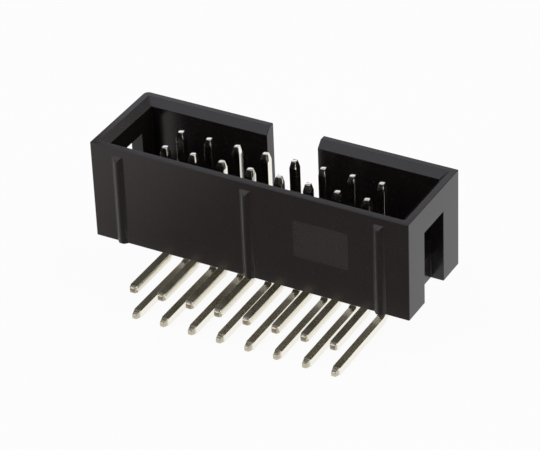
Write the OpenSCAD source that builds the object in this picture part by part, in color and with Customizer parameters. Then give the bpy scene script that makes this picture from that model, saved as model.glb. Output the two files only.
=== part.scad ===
// Right-angle shrouded pin header, two rows of square contacts.
// X runs along the rows, -Y points into the circuit board and +Z points out of the mouth.
// The origin is the middle of the solder tail pattern, on the face of the board.

/* [Contacts] */
// Contacts in each of the two rows
columns = 8; // [6:1:20]
// Spacing of the contacts, along a row and from row to row
pitch = 2.54; // [2.2:0.02:3]
// Side of the square contact wire
wire = 0.64; // [0.5:0.02:0.7]
// Side of the small flat at each end of a contact
tip_flat = 0.38; // [0.2:0.02:0.44]
// Length of the four-sided taper at each end of a contact
tip_taper = 0.6; // [0.3:0.05:1]
// Side of the flat at the tail end of the front row, which is blunter
blunt_flat = 0.46; // [0.24:0.02:0.48]
// Length of the taper at the tail end of the front row
blunt_taper = 0.3; // [0.15:0.05:0.6]
// Depth of the contact tips below the rim of the shroud
tip_depth = 0.8; // [0.4:0.1:2]
// Inside radius of the bend
bend_radius = 0.5; // [0.2:0.05:0.9]
// Drop from the underside of the housing to the middle of the upper tails
tail_drop = 2; // [1.5:0.05:4]
// Reach of the tails past the face of the board
tail_reach = 2.85; // [1.5:0.05:6]
// Clearance on each side of a contact in its hole, zero for a press fit
hole_clearance = 0; // [0:0.01:0.1]

/* [Shroud] */
// Height of the housing, from its underside to the rim
housing_height = 8.65; // [7.5:0.05:12]
// Thickness of the base that holds the contacts
base_thickness = 2.15; // [1.5:0.05:3]
// Thickness of the two long walls
side_wall = 1.1; // [0.9:0.05:1.6]
// Thickness of the two end walls
end_wall = 1.1; // [0.9:0.05:1.6]
// Room between the middle of a row and the long wall beside it
side_room = 1.98; // [1.4:0.02:3]
// Room between the middle of an outer contact and the end wall
end_room = 3.91; // [3:0.01:6]
// Slope cut into the inner edge of the rim, at 45 degrees
rim_chamfer = 0.55; // [0.2:0.05:0.7]
// Radius of the four upright outer edges
corner_radius = 0.1; // [0.1:0.05:0.6]

/* [Slots] */
// Width of the key slot in the back wall
key_width = 4.5; // [3:0.1:7]
// Width of the slot in each end wall
end_slot_width = 3.3; // [2:0.1:4]
// Height of the end slots, from the underside
end_slot_height = 6.4; // [3:0.1:6.7]

/* [Front face] */
// Height of the standoff ribs above the front face
standoff = 0.3; // [0.15:0.05:0.8]
// Width of a rib where it leaves the front face
rib_base = 1; // [0.9:0.05:1.6]
// Width of the flat crest of a rib
rib_crest = 0.45; // [0.3:0.05:0.85]
// Length of the ribs where they leave the front face, from the underside
rib_length = 8; // [4:0.1:8]
// Width of the sunk panel
panel_width = 4.9; // [2:0.1:5]
// Height of the sunk panel
panel_height = 3.5; // [1:0.1:4]
// Distance from the underside to the middle of the panel
panel_middle = 4.7; // [2.5:0.1:5]
// Depth of the sunk panel, and width of the slope round it
panel_depth = 0.12; // [0.05:0.01:0.3]

/* [Hidden] */
$fn = 48;
row_span = (columns - 1) * pitch;
cavity_l = row_span + 2 * end_room;
cavity_w = pitch + 2 * side_room;
housing_l = cavity_l + 2 * end_wall;
housing_w = cavity_w + 2 * side_wall;
middle_y = standoff + housing_w / 2;
underside_z = pitch / 2 + tail_drop;
floor_z = underside_z + base_thickness;
rim_z = underside_z + housing_height;
tip_z = rim_z - tip_depth;
bend_middle = bend_radius + wire / 2;
rib_x = row_span / 2 + pitch;
panel_x = row_span / 2 - pitch;
overcut = 1;

function column_x(i) = (i - (columns + 1) / 2) * pitch;
function row_y(side) = middle_y + side * pitch / 2;
function tail_z(side) = -side * pitch / 2;

// Four-sided taper standing on z = 0, from one rectangle to another
module frustum(bottom, top, height) {
  intersection() {
    wedge(bottom.x, top.x, height, max(bottom.y, top.y));
    rotate(90) wedge(bottom.y, top.y, height, max(bottom.x, top.x));
  }
}

// Trapezium in the XZ plane, drawn out to a depth along Y
module wedge(bottom, top, height, depth) {
  rotate([90, 0, 0])
    linear_extrude(depth, center = true)
      polygon([[-bottom / 2, 0], [bottom / 2, 0], [top / 2, height], [-top / 2, height]]);
}

// Plan of the housing with rounded corners, centred
module housing_plan() {
  square([housing_l - 2 * corner_radius, housing_w], center = true);
  square([housing_l, housing_w - 2 * corner_radius], center = true);
  for (sx = [-1, 1], sy = [-1, 1])
    translate([sx * (housing_l / 2 - corner_radius), sy * (housing_w / 2 - corner_radius)])
      circle(corner_radius);
}

// One upright rib on the front face, sloped at its top, with its crest on the face of the board
module standoff_rib(x) {
  translate([x, standoff, underside_z])
    intersection() {
      linear_extrude(rib_length)
        polygon([
          [-rib_base / 2, 0],
          [-rib_crest / 2, -standoff],
          [rib_crest / 2, -standoff],
          [rib_base / 2, 0]
        ]);
      rotate([90, 0, 90])
        linear_extrude(rib_base, center = true)
          polygon([
            [0, 0],
            [0, rib_length],
            [-standoff, rib_length - standoff],
            [-standoff, 0]
          ]);
    }
}

// The space that takes the mating socket, with the slope round its mouth
module cavity() {
  translate([-cavity_l / 2, middle_y - cavity_w / 2, floor_z])
    cube([cavity_l, cavity_w, housing_height]);
  spread = 2 * (rim_chamfer + overcut);
  translate([0, middle_y, rim_z - rim_chamfer])
    frustum([cavity_l, cavity_w], [cavity_l + spread, cavity_w + spread], rim_chamfer + overcut);
}

// Gap in the back wall for the key of the socket, open at the rim
module key_slot() {
  translate([-key_width / 2, middle_y, floor_z])
    cube([key_width, housing_w / 2 + overcut, housing_height]);
}

// Gap through one end wall, open at the underside
module end_slot(side) {
  depth = end_wall + overcut;
  translate([side * (cavity_l + depth) / 2, middle_y, underside_z + (end_slot_height - overcut) / 2])
    cube([depth, end_slot_width, end_slot_height + overcut], center = true);
}

// Square holes through the base, one for each contact
module contact_holes() {
  hole = wire + 2 * hole_clearance;
  for (i = [1 : columns], side = [-1, 1])
    translate([column_x(i) - hole / 2, row_y(side) - hole / 2, underside_z - overcut])
      cube([hole, hole, base_thickness + 2 * overcut]);
}

// Shallow sunk rectangle on the front face, with sloped sides
module panel() {
  slope = 2 * panel_depth;
  translate([panel_x, standoff - panel_depth, underside_z + panel_middle])
    rotate([-90, 0, 0])
      frustum(
        [panel_width + slope, panel_height + slope],
        [panel_width - slope, panel_height - slope],
        slope
      );
}

module housing() {
  color("#2b2728")
    difference() {
      union() {
        translate([0, middle_y, underside_z]) linear_extrude(housing_height) housing_plan();
        for (x = [-rib_x, 0, rib_x]) standoff_rib(x);
      }
      cavity();
      key_slot();
      end_slot(-1);
      end_slot(1);
      contact_holes();
      panel();
    }
}

// Tapered end of a contact, standing on z = 0
module contact_tip(flat, taper) {
  frustum([wire, wire], [flat, flat], taper);
}

// Square wire from the mating tip, round one right-angle bend, to the tip of the tail.
// The front row, side -1, takes the upper tail and the back row, side 1, the lower one.
module contact(i, side) {
  y = row_y(side);
  tail = tail_z(side);
  leg_z = tail + bend_middle;
  tail_y = y - bend_middle;
  tail_flat = side < 0 ? blunt_flat : tip_flat;
  tail_taper = side < 0 ? blunt_taper : tip_taper;
  color("#d6d1c0")
    translate([column_x(i), 0, 0]) {
      translate([0, y, tip_z - tip_taper]) contact_tip(tip_flat, tip_taper);
      translate([-wire / 2, y - wire / 2, leg_z]) cube([wire, wire, tip_z - tip_taper - leg_z]);
      translate([0, tail_y, leg_z])
        rotate([-90, 0, 90])
          rotate_extrude(angle = 90)
            translate([bend_radius, -wire / 2]) square(wire);
      translate([-wire / 2, tail_taper - tail_reach, tail - wire / 2])
        cube([wire, tail_y + tail_reach - tail_taper, wire]);
      translate([0, tail_taper - tail_reach, tail])
        rotate([90, 0, 0])
          contact_tip(tail_flat, tail_taper);
    }
}

module short_pin(i) {
  contact(i, -1);
}

module long_pin(i) {
  contact(i, 1);
}

housing();
for (i = [1 : columns]) {
  short_pin(i);
  long_pin(i);
}
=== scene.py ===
import math
import bmesh
import bpy
from mathutils import Matrix, Vector


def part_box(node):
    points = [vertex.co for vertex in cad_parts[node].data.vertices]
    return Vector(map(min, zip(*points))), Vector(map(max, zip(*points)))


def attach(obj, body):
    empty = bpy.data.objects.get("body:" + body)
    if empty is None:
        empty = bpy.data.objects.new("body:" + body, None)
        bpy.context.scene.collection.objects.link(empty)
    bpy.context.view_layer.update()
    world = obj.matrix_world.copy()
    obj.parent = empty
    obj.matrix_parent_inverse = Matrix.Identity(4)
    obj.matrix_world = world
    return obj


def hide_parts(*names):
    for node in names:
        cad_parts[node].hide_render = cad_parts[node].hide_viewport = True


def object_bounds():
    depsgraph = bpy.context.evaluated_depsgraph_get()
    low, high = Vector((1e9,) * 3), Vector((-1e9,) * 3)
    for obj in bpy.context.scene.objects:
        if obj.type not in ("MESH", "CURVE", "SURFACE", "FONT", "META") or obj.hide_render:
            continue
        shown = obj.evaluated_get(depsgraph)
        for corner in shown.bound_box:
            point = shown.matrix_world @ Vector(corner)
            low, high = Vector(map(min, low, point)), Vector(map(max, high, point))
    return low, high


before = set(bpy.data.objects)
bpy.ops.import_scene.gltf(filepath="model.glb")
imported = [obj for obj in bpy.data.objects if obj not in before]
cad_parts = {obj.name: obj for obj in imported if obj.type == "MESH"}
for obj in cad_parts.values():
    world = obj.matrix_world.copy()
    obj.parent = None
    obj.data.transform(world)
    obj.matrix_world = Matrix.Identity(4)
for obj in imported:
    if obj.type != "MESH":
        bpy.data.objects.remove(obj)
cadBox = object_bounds()
mm = 0.001  # sizes below are written in millimetres
near = 0.001 * mm  # points closer than this are the same
noiseMiddle = 0.5  # mean of a noise texture
scene = bpy.context.scene
scene.view_settings.view_transform = "Standard"
print("frame loaded,", len(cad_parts), "solids")


# One value in a shader: sums and products of it add Math nodes
class Signal:
    def __init__(self, finish, socket):
        self.finish = finish
        self.socket = socket

    def join(self, operation, first, second):
        return self.finish.add("ShaderNodeMath", {"operation": operation}, {0: first, 1: second})

    def __add__(self, other):
        return self.join("ADD", self, other)

    def __radd__(self, other):
        return self.join("ADD", other, self)

    def __sub__(self, other):
        return self.join("SUBTRACT", self, other)

    def __rsub__(self, other):
        return self.join("SUBTRACT", other, self)

    def __mul__(self, other):
        return self.join("MULTIPLY", self, other)

    def __rmul__(self, other):
        return self.join("MULTIPLY", other, self)

    def __gt__(self, other):
        return self.join("GREATER_THAN", self, other)

    def __lt__(self, other):
        return self.join("LESS_THAN", self, other)


# A node tree with one way to add any node
class Finish:
    def __init__(self, owner):
        owner.use_nodes = True
        self.owner = owner
        self.tree = owner.node_tree
        self.tree.nodes.clear()

    def add(self, kind, settings=None, inputs=None, output=0):
        node = self.tree.nodes.new(kind)
        for key, value in (settings or {}).items():
            setattr(node, key, value)
        for key, value in (inputs or {}).items():
            if isinstance(value, Signal):
                self.tree.links.new(value.socket, node.inputs[key])
            else:
                node.inputs[key].default_value = value
        return Signal(self, node.outputs[output]) if node.outputs else None

    def attribute(self, name, output="Fac"):
        return self.add("ShaderNodeAttribute", {"attribute_name": name}, output=output)

    def mix(self, factor, first, second):  # 6, 7 and output 2 are the node's colour sockets
        return self.add("ShaderNodeMix", {"data_type": "RGBA"}, {0: factor, 6: first, 7: second}, 2)

    def noise(self, vector, featureSize, detail=2.0):
        values = {"Vector": vector, "Scale": 1 / featureSize, "Detail": detail}
        return self.add("ShaderNodeTexNoise", None, values, "Fac")

    def ramp(self, value, low, high):
        return self.add("ShaderNodeMapRange", {"interpolation_type": "SMOOTHSTEP"},
                        {"Value": value, "From Min": low, "From Max": high})


def newPiece(name, bm, material):
    mesh = bpy.data.meshes.new(name)
    bm.to_mesh(mesh)
    bm.free()
    mesh.shade_smooth()
    mesh.materials.append(material)
    piece = bpy.data.objects.new(name, mesh)
    scene.collection.objects.link(piece)
    return piece


def roundEdges(piece, width, segments):
    bevel = piece.modifiers.new("rounded edges", "BEVEL")
    bevel.limit_method = "WEIGHT"
    bevel.width = width
    bevel.segments = segments
    bevel.profile = 0.5
    bevel.material = -1
    bevel.use_clamp_overlap = False
    piece.modifiers.new("even shading", "WEIGHTED_NORMAL")  # large faces stay flat beside round edges


# Black moulded plastic: cloudy gloss, a fine spark-eroded grain and a few pale filler flecks
plastic = {
    "dark": (0.0080, 0.0062, 0.0057, 1),
    "light": (0.0118, 0.0092, 0.0085, 1),
    "cloudSize": 2.6 * mm,
    "cloudDetail": 3.0,
    "grainSize": 0.09 * mm,
    "grainDepth": 0.002 * mm,
    "grainStrength": 0.5,
    "panel": (0.0262, 0.0213, 0.0218, 1),  # floor of the sunk panel, paler and duller than the rest
    "fleck": (0.05, 0.047, 0.045, 1),
    "fleckSize": 0.16 * mm,
    "fleckDetail": 1.0,
    "fleckRange": (0.66, 0.74),  # noise at which a fleck starts and is full
    "fleckShare": 0.35,
    "specularLevel": 0.40,
    "roughness": 0.22,
    "cloudRoughness": 0.10,
    "grainRoughness": 0.08,
    "panelRoughness": 0.06,
}


def plasticFinish():
    finish = Finish(bpy.data.materials.new("housingPlastic"))
    place = finish.add("ShaderNodeTexCoord", output="Object")
    panel = finish.attribute("sunkPanel")
    cloud = finish.noise(place, plastic["cloudSize"], plastic["cloudDetail"])
    grain = finish.noise(place, plastic["grainSize"])
    speck = finish.noise(place, plastic["fleckSize"], plastic["fleckDetail"])
    fleck = finish.ramp(speck, *plastic["fleckRange"])
    colour = finish.mix(cloud, plastic["dark"], plastic["light"])
    colour = finish.mix(panel, colour, plastic["panel"])
    colour = finish.mix(fleck * plastic["fleckShare"], colour, plastic["fleck"])
    rough = plastic["roughness"] + (cloud - noiseMiddle) * plastic["cloudRoughness"]
    rough = rough + (grain - noiseMiddle) * plastic["grainRoughness"]
    rough = rough + panel * plastic["panelRoughness"]
    bump = finish.add("ShaderNodeBump", None, {
        "Height": grain, "Distance": plastic["grainDepth"], "Strength": plastic["grainStrength"],
    })
    shader = finish.add("ShaderNodeBsdfPrincipled", None, {
        "Base Color": colour, "Roughness": rough, "Normal": bump,
        "Specular IOR Level": plastic["specularLevel"],
    })
    finish.add("ShaderNodeOutputMaterial", None, {"Surface": shader})
    return finish.owner


# Bright tin over brass: drawn streaks, warmer rolled faces on the tails, grey dented cut ends
plating = {
    "tin": (0.92, 0.90, 0.83, 1),
    "warmTin": (0.88, 0.855, 0.77, 1),
    "patchSize": 1.1 * mm,      # patches of the two tins
    "rolled": (0.98, 0.90, 0.70, 1),
    "darkRolled": (0.70, 0.64, 0.48, 1),
    "rolledFace": 0.30 * mm,    # rolled faces lie further than this from the middle of the wire
    "rolledFilm": 0.06,         # share of them that is dull film, not metal
    "toneSize": 9.0 * mm,       # slow change from one rolled tone to the other
    "toneDetail": 1.0,
    "toneRange": (0.42, 0.58),
    "cut": (0.52, 0.485, 0.38, 1),
    "cutRange": (0.6, 0.8),     # dulling of a tip at which the cut metal starts and is full
    "streakLength": 3.0 * mm,
    "streakWidth": 0.12 * mm,
    "streakDepth": 0.0006 * mm,
    "dentSize": 0.15 * mm,
    "dentDepth": 0.03 * mm,
    "reliefStrength": 0.8,
    "roughness": 0.12,
    "streakRoughness": 0.06,
    "patchRoughness": 0.06,
    "rolledRoughness": 0.08,
    "cutRoughness": 0.14,
}


def platingFinish():
    finish = Finish(bpy.data.materials.new("contactPlating"))
    path = finish.attribute("wirePath", "Vector")
    tip = finish.attribute("pressedTip")
    tail = finish.attribute("solderTail")
    width = plating["streakWidth"]
    stretch = (1 / plating["streakLength"], 1 / width, 1 / width)
    drawn = finish.add("ShaderNodeVectorMath", {"operation": "MULTIPLY"}, {0: path, 1: stretch})
    streak = finish.noise(drawn, 1.0)  # the stretch holds its sizes
    patch = finish.noise(path, plating["patchSize"])
    dents = finish.noise(path, plating["dentSize"])
    depth = finish.add("ShaderNodeSeparateXYZ", None, {0: path}, "Z")
    height = finish.add("ShaderNodeMath", {"operation": "ABSOLUTE"}, {0: depth})
    rolled = (height > plating["rolledFace"]) * tail
    cut = finish.ramp(tip, *plating["cutRange"])
    slow = finish.noise(path, plating["toneSize"], plating["toneDetail"])
    tone = finish.ramp(slow, *plating["toneRange"])
    colour = finish.mix(patch, plating["tin"], plating["warmTin"])
    colour = finish.mix(rolled, colour, finish.mix(tone, plating["darkRolled"], plating["rolled"]))
    colour = finish.mix(cut, colour, plating["cut"])
    rough = plating["roughness"] + (streak - noiseMiddle) * plating["streakRoughness"]
    rough = rough + (patch - noiseMiddle) * plating["patchRoughness"]
    rough = rough + rolled * plating["rolledRoughness"] + cut * plating["cutRoughness"]
    relief = streak * plating["streakDepth"] + cut * dents * plating["dentDepth"]  # in metres
    bump = finish.add("ShaderNodeBump", None,
                      {"Height": relief, "Distance": 1.0, "Strength": plating["reliefStrength"]})
    shader = finish.add("ShaderNodeBsdfPrincipled", None, {
        "Base Color": colour, "Metallic": 1.0 - rolled * plating["rolledFilm"],
        "Roughness": rough, "Normal": bump,
    })
    finish.add("ShaderNodeOutputMaterial", None, {"Surface": shader})
    return finish.owner


# The moulded shroud: the solid's own form with its edges rounded as it leaves the mould
housing = {
    "cornerRadius": 0.1 * mm,   # upright outer corners
    "bluntRadius": 0.45 * mm,   # the corner at the back on the left, which is blunter
    "bluntSteps": 6,
    "edgeRound": 0.05 * mm,
    "slopeRound": 0.02 * mm,    # edge between the rim and its slope
    "slopeAngle": math.radians(60),  # such edges turn by less than this
    "holeRound": 0.06 * mm,
    "holeReach": 0.5 * mm,      # a hole's edges are closer than this to the middle of its contact
    "ribRound": 0.2 * mm,       # softest of all, so the bevel is given this
    "ribTop": 0.17 * mm,
    "ribFoot": 0.03 * mm,
    "ribRise": 1.0 * mm,        # upright edges of a rib are longer than this
    "frontFace": 0.3 * mm,      # the ribs stand in front of this
    "panelDepth": 0.12 * mm,    # from there to the floor of the sunk panel
    "flatAngle": math.radians(1),    # faces that differ by less are joined
    "sharpAngle": math.radians(20),  # edges that turn by more are rounded
    "segments": 3,              # steps across a rounded edge
}


def edgeMiddle(edge):
    return (edge.verts[0].co + edge.verts[1].co) / 2


def contactPlaces():
    places = []
    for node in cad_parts:
        if node != "housing":
            low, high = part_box(node)
            halfWire = (high.x - low.x) / 2
            places.append((low.x + halfWire, high.y - halfWire))
    return places


def shroudRounding(edge, low, high, holes):
    point = edgeMiddle(edge)
    depth = point.y - housing["frontFace"]
    atEnd = min(point.x - low.x, high.x - point.x) < near
    if atEnd and min(depth, high.y - point.y) < near:
        return housing["cornerRadius"]
    if any(math.hypot(point.x - x, point.y - y) < housing["holeReach"] for x, y in holes):
        return housing["holeRound"]
    if point.z > high.z - near and edge.calc_face_angle() < housing["slopeAngle"]:
        return housing["slopeRound"]
    if depth < -near and point.z > low.z + near:
        upright = abs(edge.verts[0].co.z - edge.verts[1].co.z) > housing["ribRise"]
        return housing["ribRound"] if upright else housing["ribTop"]
    if abs(depth) < near and not edge.is_convex:
        return housing["ribFoot"]
    return housing["edgeRound"]


def makeHousing(material):
    low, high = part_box("housing")
    front = housing["frontFace"]
    middle = Vector(((low.x + high.x) / 2, (front + high.y) / 2))
    half = Vector((high.x - middle.x, high.y - middle.y))
    reach = housing["cornerRadius"] + near
    bm = bmesh.new()
    bm.from_mesh(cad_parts["housing"].data)
    bmesh.ops.remove_doubles(bm, verts=bm.verts, dist=near)
    for vert in bm.verts:  # the corner arcs go back to square, and are rounded again below
        away = Vector((vert.co.x - middle.x, vert.co.y - middle.y))
        if abs(away.x) > half.x - reach and abs(away.y) > half.y - reach:
            vert.co.x = middle.x + math.copysign(half.x, away.x)
            vert.co.y = middle.y + math.copysign(half.y, away.y)
    bmesh.ops.remove_doubles(bm, verts=bm.verts, dist=near)
    bmesh.ops.dissolve_degenerate(bm, edges=bm.edges, dist=near)
    bmesh.ops.dissolve_limit(bm, angle_limit=housing["flatAngle"], verts=bm.verts, edges=bm.edges)
    blunt = []
    for edge in bm.edges:
        point = edgeMiddle(edge)
        if point.x < low.x + near and point.y > high.y - near:
            blunt.append(edge)
    bmesh.ops.bevel(bm, geom=blunt, offset=housing["bluntRadius"], segments=housing["bluntSteps"],
                    profile=0.5, affect="EDGES", material=-1)
    sunk = bm.verts.layers.float.new("sunkPanel")
    for vert in bm.verts:
        if abs(vert.co.y - front - housing["panelDepth"]) < near:
            vert[sunk] = 1.0
    holes = contactPlaces()
    weight = bm.edges.layers.float.new("bevel_weight_edge")
    for edge in bm.edges:  # the panel's own edges stay as they are, and are shaded soft
        panelEdge = any(vert[sunk] for face in edge.link_faces for vert in face.verts)
        if edge.calc_face_angle() > housing["sharpAngle"] and not panelEdge:
            edge[weight] = shroudRounding(edge, low, high, holes) / housing["ribRound"]
    piece = newPiece("shroud", bm, material)
    roundEdges(piece, housing["ribRound"], housing["segments"])
    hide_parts("housing")
    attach(piece, "root")


# One contact: square wire with pressed tips and a right-angle bend
contact = {
    "bendRadius": 0.5 * mm,     # inside of the bend
    "bendSteps": 24,
    "tip": {"flat": 0.38 * mm, "taper": 0.6 * mm},
    "bluntTip": {"flat": 0.46 * mm, "taper": 0.3 * mm},  # tails of the front row
    "matingDulled": 0.3,        # end that goes into the socket
    "taperDulled": 0.6,         # start of a tail's taper, where the dull end sets in
    "cutDulled": 1.0,           # cut end of a tail
    "patternStep": 37 * mm,     # shift of the pattern from one contact to the next
    "edgeRound": 0.018 * mm,
    "tailRound": 0.07 * mm,     # cut ends of the tails
    "sharpAngle": math.radians(10),  # edges that turn by more are rounded
    "segments": 3,              # steps across a rounded edge
}


def pushFace(bm, face, move, grow=1.0):
    pushed = bmesh.ops.extrude_face_region(bm, geom=[face, *face.edges, *face.verts])["geom"]
    face = next(item for item in pushed if isinstance(item, bmesh.types.BMFace))
    verts = list(face.verts)
    bmesh.ops.translate(bm, verts=verts, vec=move)
    centre = Matrix.Translation(-face.calc_center_median())
    bmesh.ops.scale(bm, verts=verts, vec=(grow, grow, grow), space=centre)
    return face


def makeContact(node, material, shift):
    low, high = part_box(node)
    wire = high.x - low.x
    top = contact["tip"]
    tail = contact["bluntTip"] if "short" in node else contact["tip"]
    turn = contact["bendRadius"] + wire / 2  # middle line of the bend
    middleX = (low.x + high.x) / 2
    legY = high.y - wire / 2
    tailZ = low.z + wire / 2
    bendY = legY - turn
    bendZ = tailZ + turn
    legLength = high.z - bendZ
    bm = bmesh.new()
    start = Matrix.Translation((middleX, legY, high.z))
    flat = bmesh.ops.create_grid(bm, x_segments=1, y_segments=1, size=top["flat"] / 2, matrix=start)
    face = flat["verts"][0].link_faces[0]
    face = pushFace(bm, face, (0, 0, -top["taper"]), wire / top["flat"])
    face = pushFace(bm, face, (0, 0, top["taper"] - legLength))
    bend = bmesh.ops.spin(bm, geom=[face, *face.edges, *face.verts], cent=(middleX, bendY, bendZ),
                          axis=(1, 0, 0), angle=-math.pi / 2, steps=contact["bendSteps"])
    face = next(item for item in bend["geom_last"] if isinstance(item, bmesh.types.BMFace))
    face = pushFace(bm, face, (0, low.y + tail["taper"] - bendY, 0))
    pushFace(bm, face, (0, -tail["taper"], 0), tail["flat"] / wire)
    bmesh.ops.remove_doubles(bm, verts=bm.verts, dist=near)
    bmesh.ops.recalc_face_normals(bm, faces=bm.faces)
    path = bm.verts.layers.float_vector.new("wirePath")
    tip = bm.verts.layers.float.new("pressedTip")
    soldered = bm.verts.layers.float.new("solderTail")
    for vert in bm.verts:  # distance along the wire, then the place in its section
        x, y, z = vert.co
        if z > bendZ:
            along, depth = high.z - z, y - legY
        elif y < bendY:
            along, depth = legLength + turn * math.pi / 2 + bendY - y, tailZ - z
        else:
            reach = math.hypot(y - bendY, z - bendZ)
            along, depth = legLength + turn * math.atan2(bendZ - z, y - bendY), reach - turn
        vert[path] = (along + shift, x - middleX, depth)
        vert[soldered] = min(1.0, max(0.0, (along - legLength) / turn))
        if high.z - z < top["taper"] / 2:
            vert[tip] = contact["matingDulled"]
        elif y - low.y < tail["taper"] / 2:
            vert[tip] = contact["cutDulled"]
        elif y - low.y < tail["taper"] + near:
            vert[tip] = contact["taperDulled"]
    weight = bm.edges.layers.float.new("bevel_weight_edge")
    for edge in bm.edges:
        if edge.calc_face_angle() > contact["sharpAngle"]:
            cutEnd = any(vert[tip] == contact["cutDulled"] for vert in edge.verts)
            edge[weight] = 1.0 if cutEnd else contact["edgeRound"] / contact["tailRound"]
    piece = newPiece(node.replace("pin", "contact"), bm, material)
    roundEdges(piece, contact["tailRound"], contact["segments"])
    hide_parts(node)
    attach(piece, "root")


makeHousing(plasticFinish())
print("shroud made")

tinned = platingFinish()
for place, nodeName in enumerate(sorted(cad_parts)):
    if nodeName != "housing":
        makeContact(nodeName, tinned, place * contact["patternStep"])
print("contacts made")

# Pale floor that sweeps up into a low backdrop, under a plain soft sky; in reflections it carries a
# painted shade in front of the part
stage = {
    "floorRadius": 2.0,    # metres
    "floorGap": 0.005 * mm,
    "sweepRadius": 0.5,    # rounded rise round the edge of the floor
    "sweepSteps": 12,
    "sides": 96,
    "floorColour": (0.86, 0.86, 0.86, 1),
    "white": (1, 1, 1, 1),
    "whiteStrength": 1.0,
    "whiteShare": 0.94,    # the rest of the floor is shaded, and keeps the shadow
    "mirroredShade": (0.33, 0.28, 0.255, 1),  # painted shade, seen only in reflections: the floor mirrors as a warm grey in front of the tails
    "mirroredShadeLeft": (1, 0.93, 0.895, 1),      # the painted shade is paler towards the left
    "shadeAhead": (-3 * mm, -7 * mm),      # where the painted shade sets in and is full
    "shadeAside": (-26 * mm, -9 * mm),     # from the paler painted shade to the grey one
    "skyColour": (1, 1, 1, 1),
    "skyStrength": 0.12,
}


def floorFinish():
    finish = Finish(bpy.data.materials.new("paleFloor"))
    shaded = finish.add("ShaderNodeBsdfDiffuse", None, {"Color": stage["floorColour"]})
    direct = finish.add("ShaderNodeLightPath", output="Is Camera Ray")
    mirrored = finish.add("ShaderNodeLightPath", output="Is Glossy Ray")
    through = finish.add("ShaderNodeLightPath", output="Is Transmission Ray")
    place = finish.add("ShaderNodeTexCoord", output="Object")
    aside = finish.add("ShaderNodeSeparateXYZ", None, {0: place}, "X")
    ahead = finish.add("ShaderNodeSeparateXYZ", None, {0: place}, "Y")
    # painted shade: glossy rays see the floor in front of the part as a warm grey, paler towards the
    # left, so the faces that mirror it look darker
    front = finish.mix(finish.ramp(aside, *stage["shadeAside"]), stage["mirroredShadeLeft"], stage["mirroredShade"])
    tone = finish.mix(mirrored * finish.ramp(ahead, *stage["shadeAhead"]), stage["white"], front)
    white = finish.add("ShaderNodeEmission", None, {"Color": tone, "Strength": stage["whiteStrength"]})
    share = (direct + mirrored + through) * stage["whiteShare"]
    surface = finish.add("ShaderNodeMixShader", None, {0: share, 1: shaded, 2: white})
    finish.add("ShaderNodeOutputMaterial", None, {"Surface": surface})
    return finish.owner


def makeFloor(material):
    bm = bmesh.new()
    level = Matrix.Translation((0, 0, cadBox[0][2] - stage["floorGap"]))
    radius = stage["floorRadius"]
    bmesh.ops.create_circle(bm, cap_ends=True, segments=stage["sides"], radius=radius, matrix=level)
    edges = list(bm.edges)
    rise = 0.0
    for step in range(1, stage["sweepSteps"] + 1):
        turn = math.pi / 2 * step / stage["sweepSteps"]
        nextRadius = stage["floorRadius"] + stage["sweepRadius"] * math.sin(turn)
        nextRise = stage["sweepRadius"] * (1 - math.cos(turn))
        pushed = bmesh.ops.extrude_edge_only(bm, edges=edges)["geom"]
        verts = [item for item in pushed if isinstance(item, bmesh.types.BMVert)]
        edges = [item for item in pushed if isinstance(item, bmesh.types.BMEdge)]
        grow = nextRadius / radius
        bmesh.ops.scale(bm, verts=verts, vec=(grow, grow, 1))
        bmesh.ops.translate(bm, verts=verts, vec=(0, 0, nextRise - rise))
        radius, rise = nextRadius, nextRise
    floor = newPiece("floor", bm, material)


def makeSky():
    scene.world = bpy.data.worlds.new("surroundings")
    finish = Finish(scene.world)
    soft = finish.add("ShaderNodeBackground", None,
                      {"Color": stage["skyColour"], "Strength": stage["skyStrength"]})
    finish.add("ShaderNodeOutputWorld", None, {"Surface": soft})


makeFloor(floorFinish())
makeSky()
print("floor and surroundings made")


# Azimuth is measured from the front, towards the right
def fromPart(azimuth, elevation, distance, aim):
    tilt = Matrix.Rotation(-math.radians(elevation), 3, "X")
    turn = Matrix.Rotation(math.radians(azimuth), 3, "Z")
    return aim + turn @ tilt @ Vector((0, -distance, 0))


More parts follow.
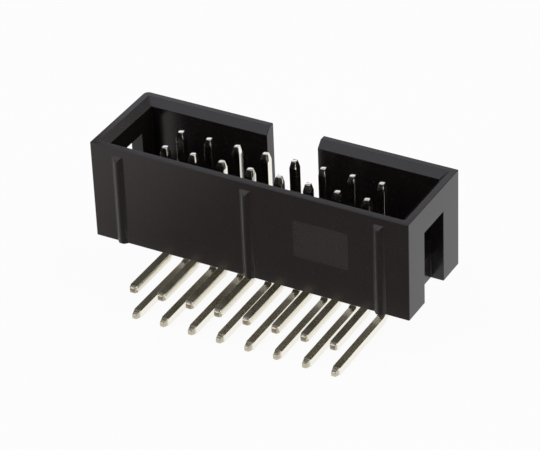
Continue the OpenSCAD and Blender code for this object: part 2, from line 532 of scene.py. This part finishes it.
def pointAt(thing, aim, roll):
    look = (aim - thing.location).to_track_quat("-Z", "Y")
    turn = Matrix.Rotation(math.radians(roll), 3, "Z")
    thing.rotation_euler = (look.to_matrix() @ turn).to_euler()


# Camera as the photograph was taken
view = {
    "azimuth": 29.9096,
    "elevation": 33.1104,
    "roll": -2.4285,
    "distance": 228.1 * mm,
    "aim": Vector((0.08, 3.75, 6.07)) * mm,
    "lens": 194.45,        # both in the camera's own millimetres
    "sensor": 36.0,
    "clip": (0.01, 20),    # metres
}


def makeCamera():
    data = bpy.data.cameras.new("camera")
    data.lens = view["lens"]
    data.sensor_width = view["sensor"]
    data.sensor_fit = "HORIZONTAL"
    data.clip_start, data.clip_end = view["clip"]
    camera = bpy.data.objects.new("camera", data)
    scene.collection.objects.link(camera)
    camera.location = fromPart(view["azimuth"], view["elevation"], view["distance"], view["aim"])
    pointAt(camera, view["aim"], view["roll"])
    scene.camera = camera


# Soft boxes round the part, in degrees, metres and watts
lamps = {
    "key": {
        "azimuth": 109,
        "elevation": 40,
        "distance": 0.5,
        "size": (0.58, 0.58),
        "roll": 0,
        "colour": (1, 0.94, 0.955),
        "power": 1.69,
    },
    "fill": {
        "azimuth": -37,
        "elevation": 46,
        "distance": 0.5,
        "size": (0.65, 0.65),
        "roll": 0,
        "colour": (0.90, 0.92, 1),
        "power": 1.9,
    },
    "strip": {
        "azimuth": 205.5,
        "elevation": 37,
        "distance": 0.0405,
        "size": (0.036, 0.010),
        "roll": -15,
        "colour": (0.89, 0.91, 1),
        "power": 0.0011,
    },
}


def makeLamps():
    for name, lamp in lamps.items():
        data = bpy.data.lights.new(name, "AREA")
        data.shape = "RECTANGLE"
        data.size, data.size_y = lamp["size"]
        data.color = lamp["colour"]
        data.energy = lamp["power"]
        softBox = bpy.data.objects.new(name, data)
        scene.collection.objects.link(softBox)
        softBox.location = fromPart(lamp["azimuth"], lamp["elevation"], lamp["distance"], view["aim"])
        pointAt(softBox, view["aim"], lamp["roll"])


makeCamera()
makeLamps()
print("camera and lamps made")

bpy.context.view_layer.update()
